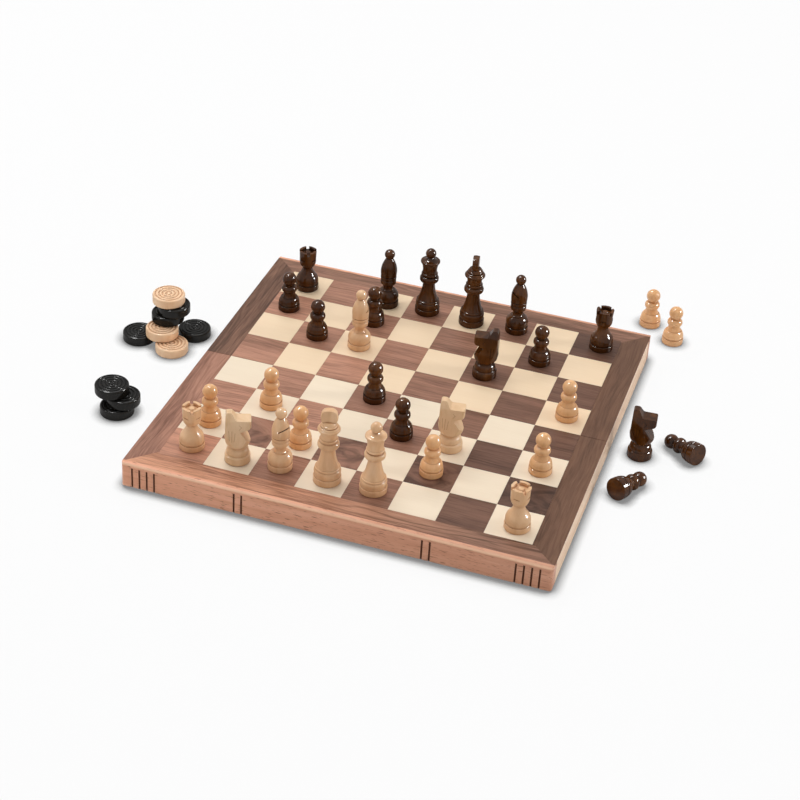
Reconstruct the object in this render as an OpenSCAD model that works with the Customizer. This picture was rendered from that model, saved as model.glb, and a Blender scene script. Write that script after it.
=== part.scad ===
// Folding games box: two hinged trays whose backs make a chequered board when they lie open,
// with backgammon points inside, and its chessmen and draughts set out on and beside it.
// The origin is the middle of the open board, on the plane of the rims. X runs along the fold,
// Y from the front half to the rear half, Z up.

/* [Board] */
// Side of one playing square
square = 38; // [34:0.5:42]
// Width of the band from the outer squares to the outside of the box
border = 22; // [20:0.5:28]
// Height of each half, from its rim to its playing surface
half_height = 22; // [20:0.5:32]
// Gap between the halves where they meet at the fold
fold_gap = 0.4; // [0.3:0.1:1]
// Gap that stays between the rims when the box is shut
rim_gap = 0.3; // [0.2:0.1:0.6]

/* [Rails] */
// Thickness of the long outer rails
spine_thickness = 11; // [9.5:0.5:13]
// Width of the strip of outer rail that shows beside the veneer
spine_lip = 4.5; // [3.5:0.25:5.5]
// Rounding of the upper edge of the outer rails
spine_round = 2.6; // [1:0.2:3.2]
// Rounding of the rim edge of the outer rails
spine_foot_round = 0.8; // [0.4:0.2:1.6]
// Rounding of the upright corners of the box
corner_round = 3.2; // [1:0.2:4]
// Thickness of the short side rails
side_thickness = 9; // [7:0.5:12]
// Thickness of the rails that carry the hinges
hinge_rail_thickness = 12; // [11:0.5:16]

/* [Saw cuts in the outer rails] */
// Width of one cut
cut_width = 1.5; // [0.8:0.1:2]
// Depth of one cut
cut_depth = 1.0; // [0.5:0.1:1.5]
// Height at which the cuts end
cut_top = 18.6; // [12:0.2:19]
// Distance from one cut to the next
cut_pitch = 6.2; // [5:0.1:8]
// Distance from the end of the rail to the first cut
cut_inset = 9.6; // [8:0.1:14]
// Number of cuts at each end
end_cuts = 4; // [1:1:6]
// Distance from the middle of the rail to the inner pair of cuts
pair_place = 72.8; // [60:0.2:80]

/* [Panel and veneers] */
// Thickness of the panel under the playing surface
panel_thickness = 3.5; // [3:0.25:5]
// Width of the ledge in the rails that the panel lies in
panel_seat = 4; // [3:0.25:5]
// Thickness of the veneer of the playing surface
veneer = 0.6; // [0.5:0.1:1]
// Joint between neighbouring veneers
veneer_joint = 0.12; // [0.08:0.02:0.3]
// Thickness of the backgammon points
point_thickness = 0.5; // [0.4:0.1:1]
// Length of a backgammon point
point_length = 124; // [90:1:130]
// Joint between the feet of neighbouring points
point_joint = 0.8; // [0.4:0.1:2]

/* [Hinges and magnets] */
// Distance from the middle of the box to each hinge
hinge_place = 100; // [70:1:120]
// Length of a hinge
hinge_length = 36; // [28:1:50]
// Width of one leaf, from the pin
leaf_width = 9; // [8:0.5:10]
// Thickness of a leaf
leaf_thickness = 1.0; // [0.8:0.1:1.2]
// Radius of the knuckles
knuckle_radius = 1.5; // [1.4:0.05:1.7]
// Radius of a hinge pin
pin_radius = 0.7; // [0.6:0.05:0.8]
// Play of a pin in its knuckles
pin_play = 0.08; // [0.05:0.01:0.1]
// Gap between one knuckle and the next
knuckle_gap = 0.3; // [0.2:0.05:0.5]
// Clearance of the rails round the knuckles
knuckle_clearance = 0.3; // [0.25:0.05:0.5]
// Distance from the middle of a hinge to each of its screws
screw_place = 11; // [8:0.5:13]
// Distance from the pin to the screws
screw_reach = 5.4; // [5:0.1:6]
// Length of a screw
screw_length = 9; // [6:0.5:12]
// Radius of a screw's shank
screw_radius = 0.8; // [0.6:0.05:1]
// Radius of a screw's head
screw_head = 1.7; // [1.4:0.1:2]
// Play round a screw
screw_play = 0.1; // [0.05:0.01:0.15]
// Radius of a magnet
magnet_radius = 3.5; // [2.5:0.25:4]
// Height of a magnet
magnet_height = 3; // [2:0.5:4]
// Distance from the middle of the rail to each magnet
magnet_place = 110; // [95:1:125]
// Play round a magnet
magnet_play = 0.1; // [0.05:0.01:0.2]

/* [Chessmen] */
// Height of a king
king_height = 66.2; // [58:0.2:80]
// Width of a king's base
king_base = 22; // [18:0.2:28]
// Width of a king's crown
king_crown = 17.8; // [14:0.2:22]
// Width of a king's finial
king_finial = 13.6; // [9:0.2:16]
// Thickness of a king's finial
finial_thickness = 5.4; // [3:0.2:7]
// Height of a queen
queen_height = 63.4; // [56:0.2:76]
// Width of a queen's base
queen_base = 21.8; // [18:0.2:27]
// Width of a queen's crown
queen_crown = 17; // [14:0.2:21]
// Height of a bishop
bishop_height = 55.6; // [48:0.2:66]
// Width of a bishop's base
bishop_base = 19.6; // [16:0.2:24]
// Width of a bishop's mitre
bishop_mitre = 14.4; // [12:0.2:16]
// Width of the slit in a bishop's mitre
slit_width = 0.9; // [0.5:0.1:1.4]
// Height of a knight
knight_height = 46; // [40:0.2:54]
// Width of a knight's base
knight_base = 20.4; // [17:0.2:24]
// Height of a rook
rook_height = 38; // [32:0.2:48]
// Width of a rook's base
rook_base = 20.4; // [17:0.2:25]
// Width of a rook's rim
rook_rim = 15.4; // [13:0.2:18]
// Width of the notches in a rook's rim
notch_width = 2.6; // [1.6:0.2:3.6]
// Height of a pawn
pawn_height = 36; // [30:0.2:44]
// Width of a pawn's base
pawn_base = 18.8; // [16:0.2:22]
// Width of a pawn's head
pawn_head = 12.2; // [10:0.2:14]
// Width of the turned groove above a base's rim
foot_groove = 0.7; // [0.4:0.1:1]
// Depth of the turned groove above a base's rim
foot_groove_depth = 0.5; // [0.3:0.1:0.8]

/* [Draughts] */
// Width of a draught
draught_width = 28.5; // [24:0.5:32]
// Thickness of a draught
draught_height = 8.4; // [7:0.2:10]
// Rounding of a draught's edges
draught_round = 1.4; // [0.6:0.1:2]
// Gap between draughts that lie on each other
stack_gap = 0.1; // [0.05:0.05:0.3]
// Number of turned rings on each face
draught_rings = 4; // [1:1:4]
// Width of one turned ring
ring_width = 1.5; // [0.8:0.1:1.8]

/* [Hidden] */
$fn = 64;
cut_over = 1;
half_field = 4 * square;
half_width = half_field + border;
panel_base = half_height - veneer - panel_thickness;
spine_inner = half_width - spine_thickness;
side_inner = half_width - side_thickness;
fold_face = fold_gap / 2;
tray_front = fold_face + hinge_rail_thickness;
pin_height = -rim_gap / 2;
table = pin_height - knuckle_radius;

// Men as [name, kind, place, turn]: standing on a square, or standing or lying on the table.
// Places count in squares: a square's file and rank and how far off its middle the man stands,
// or how far beside the board he stands on the table and at which rank.
light_men = [
  ["light_king", "king", on_square(4, 1, 0.047, -0.039), 14],
  ["light_queen", "queen", on_square(5, 1, 0.026, 0), 0],
  ["light_bishop_1", "bishop", on_square(3, 1, 0, 0.013), -20],
  ["light_bishop_2", "bishop", on_square(3, 6, 0, -0.016), 40],
  ["light_knight_1", "knight", on_square(2, 1, 0.095, -0.074), -24],
  ["light_knight_2", "knight", on_square(6, 3, 0.037, 0.011), 12],
  ["light_rook_1", "rook", on_square(1, 1, 0.047, 0), 24],
  ["light_rook_2", "rook", on_square(8, 1, 0.071, -0.071), 34],
  ["light_pawn_1", "pawn", on_square(1, 2, 0.055, -0.055), 10],
  ["light_pawn_2", "pawn", on_square(3, 2, 0.097, -0.074), 70],
  ["light_pawn_3", "pawn", on_square(2, 3, 0.018, 0.032), 130],
  ["light_pawn_4", "pawn", on_square(6, 2, -0.053, 0), 200],
  ["light_pawn_5", "pawn", on_square(8, 3, 0.024, -0.074), 260],
  ["light_pawn_6", "pawn", on_square(8, 5, 0.061, 0.039), 320],
  ["light_pawn_7", "pawn", on_table(-0.271, 10.526), 30],
  ["light_pawn_8", "pawn", on_table(0.387, 9.963), 90],
];
dark_men = [
  ["dark_king", "king", on_square(5, 8, 0.068, -0.058), 100],
  ["dark_queen", "queen", on_square(4, 8, -0.026, 0.026), 0],
  ["dark_bishop_1", "bishop", on_square(3, 8, 0.016, -0.045), 150],
  ["dark_bishop_2", "bishop", on_square(6, 8, 0.124, 0.034), 210],
  ["dark_knight_1", "knight", on_square(6, 6, -0.045, -0.061), 190],
  ["dark_knight_2", "knight", on_table(0.634, 5.142), -34],
  ["dark_rook_1", "rook", on_square(1, 8, 0.024, -0.058), 24],
  ["dark_rook_2", "rook", on_square(8, 8, 0.111, 0.074), 50],
  ["dark_pawn_1", "pawn", on_square(1, 7, -0.034, -0.108), 20],
  ["dark_pawn_2", "pawn", on_square(2, 6, -0.018, 0.011), 80],
  ["dark_pawn_3", "pawn", on_square(3, 7, -0.016, 0.061), 140],
  ["dark_pawn_4", "pawn", on_square(7, 7, -0.042, -0.068), 210],
  ["dark_pawn_5", "pawn", on_square(4, 4, 0, 0.105), 270],
  ["dark_pawn_6", "pawn", on_square(5, 3, -0.037, 0.029), 330],
  ["dark_pawn_7", "lying_pawn", on_table(1.863, 5.263), 146],
  ["dark_pawn_8", "lying_pawn", on_table(0.482, 3.387), 62],
];

// Draughts as [place beside the left side, place from the fold, how many lie under it].
// Places count in draught widths.
light_stack = [[-1.484, 0.737, 0], [-1.93, 1.035, 1], [-1.93, 1.561, 4]];
dark_stack_a = [[-2.677, 0.989, 0], [-1.193, 1.825, 0], [-1.933, 1.491, 2], [-1.754, 1.544, 3]];
dark_stack_b = [[-1.625, -2.877, 0], [-1.488, -2.737, 1], [-1.825, -2.772, 2]];

function on_square(file, rank, aside, back) =
  [(file - 4.5 + aside) * square, (rank - 4.5 + back) * square, half_height];
function on_table(beside, rank) =
  [half_width + beside * square, (rank - 4.5) * square, table];

module light_wood() color([0.90, 0.76, 0.56]) children();
module dark_wood() color([0.26, 0.15, 0.09]) children();
module maple() color([0.94, 0.86, 0.72]) children();
module walnut() color([0.44, 0.32, 0.27]) children();
module beech() color([0.76, 0.54, 0.42]) children();
module birch() color([0.92, 0.83, 0.68]) children();
module brass() color([0.78, 0.62, 0.30]) children();
module steel() color([0.70, 0.71, 0.73]) children();
module black_wood() color([0.08, 0.08, 0.08]) children();

// Every piece of a tray is drawn for the front half, and mirrored for the rear half
module for_half(half) {
  if (half == "front") children();
  if (half == "rear") mirror([0, 1, 0]) children();
}
module at_both(x) {
  for (side = [-1, 1]) translate([side * x, 0, 0]) children();
}

/* Rails */

// What is cut from a square corner at the origin to round it by r
module corner_waste(r) {
  difference() {
    translate([-cut_over, -cut_over]) square(r + cut_over);
    translate([r, r]) circle(r);
  }
}

// Section of an outer rail, from its outer face inwards, with the ledges for panel and veneer
module spine_section() {
  difference() {
    square([spine_thickness, half_height]);
    corner_waste(spine_foot_round);
    translate([0, half_height]) mirror([0, 1]) corner_waste(spine_round);
    translate([spine_lip, half_height - veneer]) square([spine_thickness, veneer + cut_over]);
    translate([spine_thickness - panel_seat, panel_base])
      square([panel_seat + cut_over, panel_thickness + veneer + cut_over]);
  }
}

// Outline of an outer rail from above, with its upright corners rounded
module spine_outline() {
  difference() {
    translate([-half_width, -half_width]) square([2 * half_width, spine_thickness]);
    translate([-half_width, -half_width]) corner_waste(corner_round);
    translate([half_width, -half_width]) mirror([1, 0]) corner_waste(corner_round);
  }
}

module saw_cuts() {
  ends = [for (i = [0 : end_cuts - 1]) half_width - cut_inset - i * cut_pitch];
  for (x = concat(ends, [pair_place, pair_place + cut_pitch]))
    at_both(x)
      translate([-cut_width / 2, -half_width - cut_over, -cut_over])
        cube([cut_width, cut_depth + cut_over, cut_top + cut_over]);
}

module spine_rail(half) {
  for_half(half) beech() difference() {
    intersection() {
      translate([-half_width, -half_width, 0])
        rotate([90, 0, 90]) linear_extrude(2 * half_width) spine_section();
      linear_extrude(half_height) spine_outline();
    }
    saw_cuts();
    at_both(magnet_place)
      translate([0, -half_width + spine_thickness / 2, -cut_over])
        cylinder(h = magnet_height + cut_over, r = magnet_radius + magnet_play);
  }
}

module side_rails(half) {
  length = spine_inner - fold_face;
  for_half(half) birch() for (side = [0, 1]) mirror([side, 0, 0])
    translate([side_inner, -spine_inner, 0]) difference() {
      cube([side_thickness, length, half_height - veneer]);
      translate([-cut_over, -cut_over, panel_base])
        cube([panel_seat + cut_over, length + 2 * cut_over, panel_thickness + cut_over]);
    }
}

module hinge_rail(half) {
  for_half(half) birch() difference() {
    translate([-side_inner, -tray_front, 0])
      cube([2 * side_inner, hinge_rail_thickness, panel_base]);
    at_both(hinge_place) {
      translate([-hinge_length / 2 - screw_play, -leaf_width - screw_play, -cut_over])
        cube([hinge_length + 2 * screw_play, leaf_width + cut_over, leaf_thickness + cut_over]);
      translate([-hinge_length / 2 - knuckle_gap, 0, pin_height]) rotate([0, 90, 0])
        cylinder(h = hinge_length + 2 * knuckle_gap, r = knuckle_radius + knuckle_clearance);
      at_both(screw_place)
        translate([0, -screw_reach, 0])
          cylinder(h = screw_length + screw_play, r = screw_radius + screw_play);
    }
  }
}

/* Panel and veneers */

module panel(half) {
  seat_x = side_inner + panel_seat;
  for_half(half) birch()
    translate([-seat_x, -spine_inner - panel_seat, panel_base])
      cube([2 * seat_x, spine_inner + panel_seat - fold_face, panel_thickness]);
}

// Three strips round the squares, mitred at the outer corners
module border_veneer(half) {
  inner = half_field + veneer_joint / 2;
  slit = veneer_joint / 2;
  outer_y = half_width - spine_lip;
  slope = (outer_y - half_field) / border;
  for_half(half) walnut() translate([0, 0, half_height - veneer]) linear_extrude(veneer) {
    for (side = [0, 1]) mirror([side, 0])
      polygon([
        [inner, -fold_face], [half_width, -fold_face],
        [half_width, -outer_y + slit], [inner, -outer_y + slit + slope * (half_width - inner)],
      ]);
    polygon([
      [-half_width + slit, -outer_y], [half_width - slit, -outer_y],
      [half_field, -inner], [-half_field, -inner],
    ]);
  }
}

// The squares of one colour: odd = 0 for those whose file and rank add up to an even number
module squares(odd) {
  slit = veneer_joint / 2;
  translate([0, 0, half_height - veneer]) for (file = [1 : 8]) for (rank = [1 : 4])
    if ((file + rank) % 2 == odd)
      translate([(file - 5) * square + slit, (rank - 5) * square + slit, 0])
        cube([
          square - 2 * slit,
          square - slit - (rank == 4 ? fold_face : slit),
          veneer,
        ]);
}
module light_squares(half) for_half(half) maple() squares(half == "front" ? 1 : 0);
module dark_squares(half) for_half(half) walnut() squares(half == "front" ? 0 : 1);

// Backgammon points of one colour, six from each side rail
module points(odd) {
  pitch = (spine_inner - tray_front) / 6;
  foot = pitch - point_joint;
  translate([0, 0, panel_base - point_thickness]) linear_extrude(point_thickness)
    for (side = [0, 1]) for (i = [0 : 5])
      if ((i + side) % 2 == odd)
        mirror([side, 0]) translate([-side_inner, -spine_inner + (i + 0.5) * pitch])
          polygon([[0, -foot / 2], [point_length, 0], [0, foot / 2]]);
}
module light_points(half) for_half(half) maple() points(half == "front" ? 0 : 1);
module dark_points(half) for_half(half) walnut() points(half == "front" ? 1 : 0);

/* Hinges and magnets */

knuckle_length = (hinge_length - 2 * knuckle_gap) / 3;

// Cylinder on the pin's line, over one of the three knuckles: place -1, 0 or 1
module along_pin(place, r, extra = 0) {
  translate([place * (knuckle_length + knuckle_gap) - knuckle_length / 2 - extra, 0, pin_height])
    rotate([0, 90, 0]) cylinder(h = knuckle_length + 2 * extra, r = r);
}

module hinge_leaf(own, other) {
  difference() {
    union() {
      translate([-hinge_length / 2, -leaf_width, 0])
        cube([hinge_length, leaf_width, leaf_thickness]);
      for (place = own) along_pin(place, knuckle_radius);
    }
    for (place = other)
      along_pin(place, knuckle_radius + knuckle_clearance, knuckle_gap);
    translate([-hinge_length, 0, pin_height]) rotate([0, 90, 0])
      cylinder(h = 2 * hinge_length, r = pin_radius + pin_play);
    at_both(screw_place) translate([0, -screw_reach, -cut_over]) {
      cylinder(h = leaf_thickness + 2 * cut_over, r = screw_radius + screw_play);
      translate([0, 0, cut_over - screw_play])
        cylinder(h = screw_cone + screw_play, r1 = screw_head + 2 * screw_play,
          r2 = screw_radius + screw_play);
    }
  }
}
screw_cone = leaf_thickness - 0.1;

module hinge_leaves(half) {
  own = half == "front" ? [-1, 1] : [0];
  other = half == "front" ? [0] : [-1, 1];
  for_half(half) brass() at_both(hinge_place) hinge_leaf(own, other);
}

module hinge_pins() {
  brass() at_both(hinge_place) translate([-hinge_length / 2, 0, pin_height])
    rotate([0, 90, 0]) cylinder(h = hinge_length, r = pin_radius);
}

module screw() {
  slot_width = 0.4;
  slot_depth = 0.3;
  difference() {
    union() {
      cylinder(h = screw_cone, r1 = screw_head, r2 = screw_radius);
      cylinder(h = screw_length, r = screw_radius);
    }
    for (turn = [0, 90]) rotate(turn + 20)
      translate([-screw_radius, -slot_width / 2, -cut_over])
        cube([2 * screw_radius, slot_width, slot_depth + cut_over]);
  }
}
module hinge_screws(half) {
  for_half(half) brass() at_both(hinge_place) at_both(screw_place)
    translate([0, -screw_reach, 0]) screw();
}

module magnets(half) {
  for_half(half) steel() at_both(magnet_place)
    translate([0, -half_width + spine_thickness / 2, 0])
      cylinder(h = magnet_height, r = magnet_radius);
}

/* Turned work. Sections lie in the plane of radius and height, and follow the man's own sizes. */

// Radius of the arc over the chord from a to b that rises from it by rise
function arc_radius(a, b, rise) = (norm(b - a) ^ 2 / 4 + rise ^ 2) / (2 * rise);
// Centre of that arc, on the outer side of the chord, or on its inner side if side is -1
function arc_centre(a, b, rise, side) =
  let (d = b - a, away = side * (arc_radius(a, b, rise) - rise))
  (a + b) / 2 + [d[1], -d[0]] / norm(d) * away;

// Round the axis from low to high, out to r, with its outer edges rounded by e
module band(r, low, high, e) {
  translate([0, low]) square([r - e, high - low]);
  translate([0, low + e]) square([r, high - low - 2 * e]);
  intersection() {
    for (z = [low + e, high - e]) translate([r - e, z]) circle(e);
    translate([0, low]) square([r, high - low]);
  }
}
// Plain cylinder from low to high
module neck(r, low, high) translate([0, low]) square([r, high - low]);
// Tapered from radius a[0] at height a[1] to b, and hollowed out by depth
module hollow(a, b, depth) {
  difference() {
    polygon([[0, a[1]], a, b, [0, b[1]]]);
    translate(arc_centre(a, b, depth, 1)) circle(arc_radius(a, b, depth));
  }
}
// Tapered from a to b, and swelled out by rise
module swell(a, b, rise) {
  polygon([[0, a[1]], a, b, [0, b[1]]]);
  intersection() {
    translate(arc_centre(a, b, rise, -1)) circle(arc_radius(a, b, rise));
    translate([0, a[1]]) square([max(a[0], b[0]) + rise, b[1] - a[1]]);
  }
}
module ball(r, z) {
  intersection() {
    translate([0, z]) circle(r);
    translate([0, z - r]) square([r, 2 * r]);
  }
}
// Rim, groove and ring that every man stands on, up to the given height
module foot(r, rim, top, e) {
  ring = 0.97 * r;
  band(r, 0, rim, foot_round * r);
  neck(ring - foot_groove_depth, rim / 2, top - e);
  band(ring, rim + foot_groove, top, e);
}
foot_round = 0.06;

pawn_rim = 0.15 * pawn_height;
module pawn_section() {
  r = pawn_base / 2;
  h = pawn_height;
  head = pawn_head / 2;
  collar_top = h - 2 * head + 0.015 * h;
  collar_low = collar_top - 0.2 * h;
  foot(r, pawn_rim, 0.235 * h, 0.03 * h);
  swell([0.94 * r, 0.2 * h], [0.73 * r, 0.355 * h], 0.07 * r);
  hollow([0.67 * r, 0.355 * h], [0.54 * r, collar_low + 0.03 * h], 0.03 * r);
  band(0.71 * r, collar_low, collar_top, 0.095 * h);
  neck(0.42 * r, collar_top - 0.03 * h, collar_top + 0.03 * h);
  ball(head, h - head);
}
module rook_section() {
  r = rook_base / 2;
  h = rook_height;
  rim = rook_rim / 2;
  foot(r, 0.135 * h, 0.22 * h, 0.03 * h);
  swell([0.96 * r, 0.2 * h], [0.81 * r, 0.35 * h], 0.05 * r);
  hollow([0.81 * r, 0.35 * h], [0.42 * r, 0.55 * h], 0.06 * r);
  neck(0.42 * r, 0.54 * h, 0.57 * h);
  swell([0.57 * rim, 0.565 * h], [0.95 * rim, 0.76 * h], 0.12 * rim);
  hollow([0.95 * rim, 0.76 * h], [rim, h], 0.01 * rim);
}
module bishop_section() {
  r = bishop_base / 2;
  h = bishop_height;
  mitre = bishop_mitre / 2;
  knob = 0.63 * mitre;
  foot(r, 0.1 * h, 0.165 * h, 0.024 * h);
  swell([0.96 * r, 0.135 * h], [0.64 * r, 0.285 * h], 0.15 * r);
  hollow([0.57 * r, 0.28 * h], [0.42 * r, 0.32 * h], 0.03 * r);
  hollow([0.42 * r, 0.318 * h], [0.84 * mitre, 0.395 * h], 0.05 * r);
  band(0.95 * mitre, 0.39 * h, 0.482 * h, 0.028 * h);
  neck(0.89 * mitre, 0.46 * h, 0.55 * h);
  band(0.97 * mitre, 0.491 * h, 0.536 * h, 0.009 * h);
  swell([0.96 * mitre, 0.545 * h], [mitre, 0.63 * h], 0.01 * mitre);
  swell([mitre, 0.63 * h], [0.41 * mitre, h - 1.85 * knob], 0.13 * mitre);
  ball(knob, h - knob);
}
module queen_section() {
  r = queen_base / 2;
  h = queen_height;
  crown = queen_crown / 2;
  knob = 0.54 * crown;
  foot(r, 0.088 * h, 0.195 * h, 0.04 * h);
  swell([0.89 * r, 0.188 * h], [0.85 * r, 0.214 * h], 0.04 * r);
  hollow([0.82 * r, 0.213 * h], [0.47 * r, 0.495 * h], 0.08 * r);
  band(0.98 * crown, 0.49 * h, 0.585 * h, 0.04 * h);
  neck(0.74 * crown, 0.56 * h, 0.61 * h);
  band(0.85 * crown, 0.594 * h, 0.634 * h, 0.016 * h);
  hollow([0.77 * crown, 0.632 * h], [0.95 * crown, 0.8 * h], 0.1 * crown);
  band(crown, 0.79 * h, 0.825 * h, 0.014 * h);
  hollow([0.88 * crown, 0.823 * h], [0.3 * crown, h - 1.8 * knob], 0.08 * crown);
  ball(knob, h - knob);
}
module king_section() {
  r = king_base / 2;
  h = king_height;
  crown = king_crown / 2;
  foot(r, 0.088 * h, 0.195 * h, 0.04 * h);
  swell([0.89 * r, 0.189 * h], [0.85 * r, 0.216 * h], 0.04 * r);
  hollow([0.82 * r, 0.215 * h], [0.49 * r, 0.485 * h], 0.08 * r);
  band(0.96 * crown, 0.481 * h, 0.573 * h, 0.04 * h);
  neck(0.76 * crown, 0.55 * h, 0.59 * h);
  band(0.83 * crown, 0.582 * h, 0.614 * h, 0.014 * h);
  hollow([0.73 * crown, 0.612 * h], [0.95 * crown, 0.732 * h], 0.1 * crown);
  band(crown, 0.718 * h, 0.758 * h, 0.018 * h);
  swell([0.9 * crown, 0.755 * h], [0.77 * crown, 0.779 * h], 0.04 * crown);
  band(0.75 * crown, 0.774 * h, 0.81 * h, 0.016 * h);
  swell([0.67 * crown, 0.805 * h], [0.44 * crown, 0.845 * h], 0.06 * crown);
}
// Bulb that the king's finial is sawn from
module finial_section() {
  w = king_finial / 2;
  h = king_height;
  low = 0.84 * h;
  swell([0.86 * w, low], [0.88 * w, 0.948 * h], 0.13 * w);
  band(0.93 * w, low + 0.03 * h, h, 0.55 * w);
}

module king() {
  rotate_extrude() king_section();
  intersection() {
    rotate_extrude() finial_section();
    translate([-king_finial, -finial_thickness / 2, 0])
      cube([2 * king_finial, finial_thickness, 2 * king_height]);
  }
}
module queen() rotate_extrude() queen_section();
module pawn() rotate_extrude() pawn_section();
module bishop() {
  slit_slope = 36;
  difference() {
    rotate_extrude() bishop_section();
    translate([0.18 * bishop_mitre, 0, 0.66 * bishop_height]) rotate([0, -slit_slope, 0])
      translate([0, -bishop_mitre, -slit_width / 2])
        cube([bishop_mitre, 2 * bishop_mitre, slit_width]);
  }
}
module rook() {
  rim = rook_rim / 2;
  well = 0.69 * rim;
  notch_depth = 0.07 * rook_height;
  facet_height = 0.22 * rook_height;
  facet_slope = 5.5;
  difference() {
    rotate_extrude() rook_section();
    translate([0, 0, rook_height - notch_depth]) {
      cylinder(h = notch_depth + cut_over, r = well);
      for (turn = [0, 90]) rotate(turn)
        translate([-rook_base, -notch_width / 2, 0])
          cube([2 * rook_base, notch_width, notch_depth + cut_over]);
    }
    for (turn = [45 : 90 : 315]) rotate(turn)
      translate([0.87 * rim, -rim, rook_height - facet_height]) rotate([0, facet_slope, 0])
        cube([rim, 2 * rim, 2 * facet_height]);
  }
  translate([0, 0, rook_height - 1.2 * notch_depth])
    cylinder(h = 0.7 * notch_depth, r1 = 0.7 * well, r2 = 0.4 * well);
}

/* Knight: a turned blank, sawn to a horse's outline and thinned on both sides */

module knight_blank() {
  r = knight_base / 2;
  h = knight_height;
  neck(0.81 * r, 0.19 * h, 0.25 * h);
  swell([0.82 * r, 0.24 * h], [0.98 * r, 0.56 * h], 0.1 * r);
  hollow([0.98 * r, 0.56 * h], [1.12 * r, 0.64 * h], 0.01 * r);
  neck(1.12 * r, 0.64 * h, 2 * h);
}
// The horse from the side, facing +x: poll, flat crown, upright muzzle, and jaw cut back
module horse_outline() {
  r = knight_base / 2;
  h = knight_height;
  back = -0.84 * r;
  poll = 0.37 * r;
  crown = 0.83 * h;
  polygon([
    [-1.2 * r, 0.2 * h], [-1.2 * r, 0.45 * h], [-0.98 * r, 0.6 * h], [back, h - poll],
    [back + 2 * poll, h - poll], [back + 2.2 * poll, crown], [1.04 * r, crown],
    [1.04 * r, 0.665 * h], [0.4 * r, 0.605 * h], [1.2 * r, 0.54 * h], [1.2 * r, 0.2 * h],
  ]);
  translate([back + poll, h - poll]) circle(poll);
}
// Half the knight's thickness at a height, given as a share of his height
function flank(z) = (0.85 - 0.5 * (z - 0.29)) * knight_base / 2;
module horse_front() {
  r = knight_base / 2;
  h = knight_height;
  polygon([
    [-1.2 * r, 0.2 * h], [-1.2 * r, 0.26 * h], [-flank(0.29), 0.29 * h], [-flank(0.87), 0.87 * h],
    [-0.3 * r, 1.02 * h], [0.3 * r, 1.02 * h], [flank(0.87), 0.87 * h], [flank(0.29), 0.29 * h],
    [1.2 * r, 0.26 * h], [1.2 * r, 0.2 * h],
  ]);
}
// Three short strokes of the mane, fanned out on both flanks, an eye and a nostril
module horse_cuts() {
  r = knight_base / 2;
  h = knight_height;
  flank_slope = atan((flank(0.29) - flank(0.87)) / (0.58 * h));
  for (side = [-1, 1]) {
    translate([-0.6 * r, side * flank(0.62), 0.62 * h]) rotate([side * flank_slope, 0, 0])
      for (lean = [15, 45, 75]) rotate([0, -lean, 0])
        translate([0.4 * r, 0, 0]) rotate([45, 0, 0])
          cube([0.45 * r, 0.09 * r, 0.09 * r], center = true);
    translate([0.26 * r, side * (flank(0.77) + 0.04 * r), 0.77 * h]) sphere(0.13 * r);
    translate([0.88 * r, side * (flank(0.77) + 0.02 * r), 0.77 * h]) sphere(0.09 * r);
  }
  translate([0.72 * r, 0, 0.73 * h]) rotate([0, 10, 0])
    translate([0, -r, 0]) cube([r, 2 * r, 0.07 * r]);
}
module knight() {
  r = knight_base / 2;
  h = knight_height;
  rotate_extrude() foot(r, 0.115 * h, 0.21 * h, 0.035 * h);
  difference() {
    intersection() {
      rotate_extrude() knight_blank();
      translate([0, 2 * r, 0]) rotate([90, 0, 0]) linear_extrude(4 * r) horse_outline();
      translate([-2 * r, 0, 0]) rotate([90, 0, 90]) linear_extrude(4 * r) horse_front();
    }
    horse_cuts();
  }
}

module man(kind) {
  if (kind == "king") king();
  if (kind == "queen") queen();
  if (kind == "bishop") bishop();
  if (kind == "knight") knight();
  if (kind == "rook") rook();
  if (kind == "pawn") pawn();
  if (kind == "lying_pawn") lying_pawn();
}

// A pawn on its side touches the table with the rim of its base and with its head
module lying_pawn() {
  head = pawn_head / 2;
  e = foot_round * pawn_base / 2;
  out = pawn_base / 2 - e;
  along = pawn_height - head - pawn_rim + e;
  lean = acos((head - e) / norm([out, along])) - atan2(along, out);
  drop = out * cos(lean) + (pawn_rim - e) * sin(lean) + e;
  translate([0, 0, drop + lying_gap]) rotate([0, 90 + lean, 0]) pawn();
}
lying_gap = 0.02;

module placed(man) {
  translate(man[2]) rotate(man[3]) man(man[1]);
}

module draught() {
  radius = draught_width / 2;
  pitch = (radius - draught_round - 0.4) / draught_rings;
  rotate_extrude() difference() {
    band(radius, 0, draught_height, draught_round);
    for (i = [1 : draught_rings]) for (z = [0, draught_height])
      translate([i * pitch - ring_width / 2, z]) circle(ring_width / 2);
  }
}
module draughts(stack) {
  for (d = stack)
    translate([
      -half_width + d[0] * draught_width,
      d[1] * draught_width,
      table + d[2] * (draught_height + stack_gap),
    ]) draught();
}

for (half = ["front", "rear"]) {
  spine_rail(half);
  side_rails(half);
  hinge_rail(half);
  panel(half);
  border_veneer(half);
  light_squares(half);
  dark_squares(half);
  light_points(half);
  dark_points(half);
  hinge_leaves(half);
  hinge_screws(half);
  magnets(half);
}
hinge_pins();
for (m = light_men) light_wood() placed(m);
for (m = dark_men) dark_wood() placed(m);
light_wood() draughts(light_stack);  // light_draughts
black_wood() draughts(dark_stack_a);  // dark_draughts_a
black_wood() draughts(dark_stack_b);  // dark_draughts_b
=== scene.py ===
"""Looks of the folding games box: woods, lacquers, brass, floor, light and camera."""

import math

import bmesh
import bpy
from mathutils import Matrix, Vector


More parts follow.
